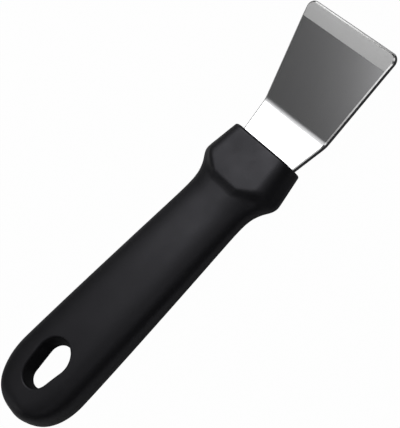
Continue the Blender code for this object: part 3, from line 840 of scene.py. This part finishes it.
def blank_half(bm, blade):
    """The +Y half of the flat blank as one face, with half of each key hole on its straight side.

    Returns where the bend starts and where the flat sheet ends.
    """
    face_x = BUTT_X + HANDLE_LENGTH
    bend_x = face_x + blade.shank_reach
    setback = blade.bend_radius * math.tan(blade.bend_angle / 2)
    edge_x = bend_x - 2.0 * setback + blade.bend_radius * blade.bend_angle + blade.blade_reach
    tang_end = face_x - blade.tang_length
    shoulder_x = face_x - blade.shoulder_depth
    flare = math.atan2(blade.edge_half - blade.bend_half, edge_x - bend_x)
    drop = blade.edge_corner * (math.tan(flare) + 1.0 / math.cos(flare))
    tip_centre = (edge_x - blade.edge_corner, blade.edge_half - drop)
    tang_centre = (tang_end + blade.tang_corner, blade.tang_half - blade.tang_corner)
    outline = [bm.verts.new((tang_end, 0.0, 0.0))]
    outline += spin_corner(bm, (tang_end, tang_centre[1]), tang_centre, -math.pi / 2, CORNER_STEPS)
    for x, y in ((shoulder_x - blade.shoulder_length, blade.tang_half), (shoulder_x, blade.shank_half),
                 (face_x, blade.shank_half), (bend_x, blade.bend_half)):
        outline.append(bm.verts.new((x, y, 0.0)))
    tip_start = (tip_centre[0] - blade.edge_corner * math.sin(flare),
                 tip_centre[1] + blade.edge_corner * math.cos(flare))
    outline += spin_corner(bm, tip_start, tip_centre, -math.pi / 2 - flare, CORNER_STEPS)
    outline.append(bm.verts.new((edge_x, 0.0, 0.0)))
    for setback_x in (blade.first_key, blade.second_key):
        hole_x = face_x - setback_x
        outline += spin_corner(bm, (hole_x + blade.key_hole, 0.0), (hole_x, 0.0), math.pi, HOLE_STEPS)
    bm.faces.new(outline)
    return bend_x - setback, edge_x


def bend_sheet(blade, start_x, point):
    """Where a point of the flat sheet comes to lie once the blade is bent up."""
    along = point.x - start_x
    if along <= 0.0:
        return Vector((point.x, point.y, point.z + BLADE_LEVEL))
    turn = min(along / blade.bend_radius, blade.bend_angle)
    straight = along - turn * blade.bend_radius
    x = start_x + blade.bend_radius * math.sin(turn) + straight * math.cos(turn)
    z = blade.bend_radius * (1.0 - math.cos(turn)) + straight * math.sin(turn)
    return Vector((x - point.z * math.sin(turn), point.y, z + point.z * math.cos(turn) + BLADE_LEVEL))


def slice_across(bm, x):
    bmesh.ops.bisect_plane(bm, geom=bm.verts[:] + bm.edges[:] + bm.faces[:], dist=SLICE_TOLERANCE,
                           plane_co=(x, 0.0, 0.0), plane_no=(1.0, 0.0, 0.0))


def break_arrises(bm, blade):
    """Rounds the sheet's corners over, those of the upper face by more than those of the lower."""
    for level, radius in ((1.0, blade.arris), (-1.0, blade.back_arris)):
        arrises = [edge for edge in bm.edges if edge.calc_face_angle(0.0) > ARRIS_ANGLE
                   and all(vert.co.z * level > 0.0 for vert in edge.verts)]
        bmesh.ops.bevel(bm, geom=arrises, affect="EDGES", offset=radius, offset_type="OFFSET",
                        segments=ARRIS_SEGMENTS, profile=0.5, material=-1, clamp_overlap=True)


def sort_finishes(bm, ground_x):
    """Gives each face of the flat sheet its finish, by its slope and its place, with painted shade and
    painted highlights among them.
    """
    for face in bm.faces:
        at_end = face.normal.x > END_SHARE * math.hypot(face.normal.x, face.normal.y)
        # Side walls take the dark cut edge as painted shade, and the end wall the light arris colour as a
        # painted highlight
        if abs(face.normal.z) < CUT_WALL_SLOPE:
            face.material_index = WORN_ARRIS_PAINTED_HIGHLIGHT if at_end else CUT_EDGE_PAINTED_SHADE
        # Arrises along the sides take the light colour as a painted highlight, and the arris at the end the
        # dark copy as painted shade
        elif abs(face.normal.z) < ARRIS_SLOPE:
            face.material_index = HONED_END_PAINTED_SHADE if at_end else WORN_ARRIS_PAINTED_HIGHLIGHT
        elif face.normal.z > 0.0 and face.calc_center_median().x > ground_x:
            face.material_index = GROUND_FACE
    for edge in bm.edges:
        if {face.material_index for face in edge.link_faces} == {ROLLED_FACE, GROUND_FACE}:
            edge.smooth = False


def build_blade(blade):
    """One sheet: cut out flat, ground at its edge, its arrises broken, then bent."""
    bm = bmesh.new()
    start_x, edge_x = blank_half(bm, blade)
    ground_x = edge_x - blade.ground
    for x in np.linspace(start_x, start_x + blade.bend_radius * blade.bend_angle, BEND_STEPS + 1):
        slice_across(bm, x)
    slice_across(bm, ground_x)
    bmesh.ops.mirror(bm, geom=bm.verts[:] + bm.edges[:] + bm.faces[:], matrix=Matrix.Identity(4),
                     merge_dist=WELD_DISTANCE, axis="Y")
    bmesh.ops.recalc_face_normals(bm, faces=bm.faces)
    top = bmesh.ops.extrude_face_region(bm, geom=bm.faces[:], use_keep_orig=True)["geom"]
    top_verts = [item for item in top if isinstance(item, bmesh.types.BMVert)]
    bmesh.ops.translate(bm, verts=bm.verts, vec=(0.0, 0.0, -SHEET_THICKNESS / 2))
    bmesh.ops.translate(bm, verts=top_verts, vec=(0.0, 0.0, SHEET_THICKNESS))
    slope = (SHEET_THICKNESS - blade.edge_thickness) / blade.ground
    for vert in top_verts:
        vert.co.z -= slope * max(0.0, vert.co.x - ground_x)
    bmesh.ops.recalc_face_normals(bm, faces=bm.faces)
    break_arrises(bm, blade)
    shade(bm, BLADE_SHARP_ANGLE)
    sort_finishes(bm, ground_x)
    for vert in bm.verts:
        vert.co = bend_sheet(blade, start_x, vert.co)
    return bm


# Stage

def aim(obj, place, target, roll=0.0):
    """Puts an object at a place, looking at a target, turned about its own line of sight."""
    look = (Vector(target) - Vector(place)).to_track_quat("-Z", "Y")
    obj.matrix_world = (Matrix.Translation(place) @ look.to_matrix().to_4x4()
                        @ Matrix.Rotation(roll, 4, "Z"))


def make_camera(studio):
    data = bpy.data.cameras.new("camera")
    data.lens = studio.lens
    data.sensor_width = SENSOR_WIDTH
    data.clip_start = CLIP_NEAR
    data.clip_end = CLIP_FAR
    camera = bpy.data.objects.new("camera", data)
    bpy.context.scene.collection.objects.link(camera)
    target = Vector((studio.target_x, studio.target_y, studio.target_z))
    back = Vector((math.sin(studio.azimuth) * math.cos(studio.elevation),
                   -math.cos(studio.azimuth) * math.cos(studio.elevation),
                   math.sin(studio.elevation)))
    aim(camera, target + back * studio.distance, target, studio.roll)
    bpy.context.scene.camera = camera


def make_key_lamp(lamp):
    data = bpy.data.lights.new("key_lamp", "AREA")
    data.shape = "RECTANGLE"
    data.size = lamp.width
    data.size_y = lamp.height
    data.energy = lamp.brightness * math.pi * lamp.width * lamp.height
    key = bpy.data.objects.new("key_lamp", data)
    bpy.context.scene.collection.objects.link(key)
    aim(key, Vector(lamp.direction) * lamp.distance, (0.0, 0.0, 0.0))


def make_floor(studio):
    """A pale floor that curves up into a low backdrop all round."""
    bm = bmesh.new()
    profile = [(FLOOR_RADIUS, BACKDROP_HEIGHT)]
    turns = np.linspace(0.0, math.pi / 2, FLOOR_CURVE_STEPS + 1)
    profile += [(FLOOR_RADIUS - FLOOR_CURVE * (1.0 - math.cos(turn)), FLOOR_CURVE * (1.0 - math.sin(turn)))
                for turn in turns]
    profile.append((0.0, 0.0))
    verts = [bm.verts.new((x, 0.0, z - FLOOR_GAP)) for x, z in profile]
    edges = [bm.edges.new(pair) for pair in zip(verts, verts[1:])]
    bmesh.ops.spin(bm, geom=verts + edges, cent=(0.0, 0.0, 0.0), axis=(0.0, 0.0, 1.0),
                   angle=2.0 * math.pi, steps=FLOOR_STEPS, use_merge=True)
    bmesh.ops.remove_doubles(bm, verts=bm.verts, dist=FLOOR_GAP)
    bmesh.ops.recalc_face_normals(bm, faces=bm.faces)
    shade(bm, math.pi)
    finished_object("floor", bm, [pale_floor(studio)])


def pale_floor(studio):
    """White where it is looked at, and a plain pale floor that keeps a shadow to other light."""
    material = bpy.data.materials.new("pale_floor")
    material.use_nodes = True
    tree = material.node_tree
    tree.nodes.clear()
    output = add_node(tree, "ShaderNodeOutputMaterial")
    plain = add_node(tree, "ShaderNodeBsdfDiffuse")
    plain.inputs["Color"].default_value = (*studio.floor, 1.0)
    white = add_node(tree, "ShaderNodeEmission")
    white.inputs["Strength"].default_value = 1.0
    blend = add_node(tree, "ShaderNodeMixShader")
    path = add_node(tree, "ShaderNodeLightPath")
    seen = calculated(tree, "MULTIPLY", path.outputs["Is Camera Ray"], studio.seen_white)
    other = calculated(tree, "ADD", path.outputs["Is Glossy Ray"], path.outputs["Is Transmission Ray"])
    mirrored = calculated(tree, "MULTIPLY", other, studio.mirrored_white)
    tree.links.new(calculated(tree, "ADD", seen, mirrored), blend.inputs["Fac"])
    tree.links.new(plain.outputs["BSDF"], blend.inputs[1])
    tree.links.new(white.outputs["Emission"], blend.inputs[2])
    tree.links.new(blend.outputs["Shader"], output.inputs["Surface"])
    return material


def soft_window(tree, sky, window):
    """The glow of a rectangular soft light, far off in one direction of the sky."""
    forward = Vector(window.direction).normalized()
    right = forward.cross((0.0, 0.0, 1.0)).normalized()
    ahead = dot_with(tree, sky, forward)
    masks = []
    for axis, half, feather in ((right, window.half_width, window.side_feather),
                                (right.cross(forward), window.half_height, window.top_feather)):
        across = calculated(tree, "DIVIDE", dot_with(tree, sky, axis), ahead)
        offset = calculated(tree, "ABSOLUTE", across)
        masks.append(mapped(tree, offset, (half - feather, half + feather), (1.0, 0.0), "SMOOTHSTEP"))
    front = calculated(tree, "GREATER_THAN", ahead, 0.0)
    shape = calculated(tree, "MULTIPLY", *masks)
    lit = calculated(tree, "MULTIPLY", shape, window.strength)
    return calculated(tree, "MULTIPLY", lit, front)


def make_sky(studio):
    """A dim room with soft windows, which the tool mirrors."""
    world = bpy.data.worlds.new("room")
    world.use_nodes = True
    bpy.context.scene.world = world
    tree = world.node_tree
    sky = add_node(tree, "ShaderNodeTexCoord").outputs["Generated"]
    background = tree.nodes["Background"]
    background.inputs["Color"].default_value = (1.0, 1.0, 1.0, 1.0)
    glow = studio.ambient
    for name in WINDOWS:
        window = getattr(bpy.context.scene, name)
        glow = calculated(tree, "ADD", soft_window(tree, sky, window), glow)
    tree.links.new(glow, background.inputs["Strength"])


# Operators and the sidebar

class SCRAPER_OT_blade(bpy.types.Operator):
    """Cuts, grinds and bends the blade"""
    bl_idname = "scraper.blade"
    bl_label = "Build Blade"

    def execute(self, context):
        scene = context.scene
        finish = scene.scraper_finish
        materials = [rolled_steel(finish), ground_steel(finish), cut_edge_painted_shade(finish),
                     rubbed_steel_painted_light("worn_arris_painted_highlight", finish.arris, finish.rubbed_roughness),
                     rubbed_steel_painted_light("honed_end_painted_shade", finish.honed_end_painted_shade, finish.rubbed_roughness)]
        piece = finished_object("scraper_blade", build_blade(scene.scraper_blade), materials)
        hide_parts("blade")
        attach(piece, "root")
        return {"FINISHED"}


class SCRAPER_OT_handle(bpy.types.Operator):
    """Moulds the handle round the tang"""
    bl_idname = "scraper.handle"
    bl_label = "Build Handle"

    def execute(self, context):
        scene = context.scene
        bm = build_handle(scene.scraper_handle, scene.scraper_blade)
        piece = finished_object("moulded_handle", bm, [grained_plastic(scene.scraper_finish)])
        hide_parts("handle")
        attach(piece, "root")
        return {"FINISHED"}


class SCRAPER_OT_stage(bpy.types.Operator):
    """Sets up the camera, the floor and the lights"""
    bl_idname = "scraper.stage"
    bl_label = "Set Stage"

    def execute(self, context):
        studio = context.scene.scraper_studio
        make_camera(studio)
        make_key_lamp(context.scene.key_lamp)
        make_floor(studio)
        make_sky(studio)
        context.scene.view_settings.view_transform = "Standard"
        return {"FINISHED"}


class SCRAPER_PT_sidebar(bpy.types.Panel):
    bl_label = "Ceramic Hob Scraper"
    bl_idname = "SCRAPER_PT_sidebar"
    bl_space_type = "VIEW_3D"
    bl_region_type = "UI"
    bl_category = "Scraper"

    def draw(self, context):
        layout = self.layout
        for operator in (SCRAPER_OT_blade, SCRAPER_OT_handle, SCRAPER_OT_stage):
            layout.operator(operator.bl_idname)
        for name in GROUPS:
            group = getattr(context.scene, name)
            box = layout.box()
            for setting in group.bl_rna.properties.keys():
                if setting not in ("rna_type", "name"):
                    box.prop(group, setting)


GROUPS = {
    "scraper_handle": ScraperHandle,
    "scraper_blade": ScraperBlade,
    "scraper_finish": ScraperFinish,
    "scraper_studio": ScraperStudio,
    "key_lamp": KeyLamp,
    "glow_window": GlowWindow,
    "edge_window": EdgeWindow,
    "shank_window": ShankWindow,
    "step_window": StepWindow,
}
WINDOWS = ("glow_window", "edge_window", "shank_window", "step_window")
CLASSES = (*GROUPS.values(), SCRAPER_OT_blade, SCRAPER_OT_handle, SCRAPER_OT_stage, SCRAPER_PT_sidebar)


def register():
    for cls in CLASSES:
        bpy.utils.register_class(cls)
    for name, group in GROUPS.items():
        setattr(bpy.types.Scene, name, bpy.props.PointerProperty(type=group))


def unregister():
    for name in GROUPS:
        delattr(bpy.types.Scene, name)
    for cls in reversed(CLASSES):
        bpy.utils.unregister_class(cls)


def main():
    register()
    bpy.ops.scraper.blade()
    bpy.ops.scraper.handle()
    bpy.ops.scraper.stage()


if __name__ == "__main__":
    main()
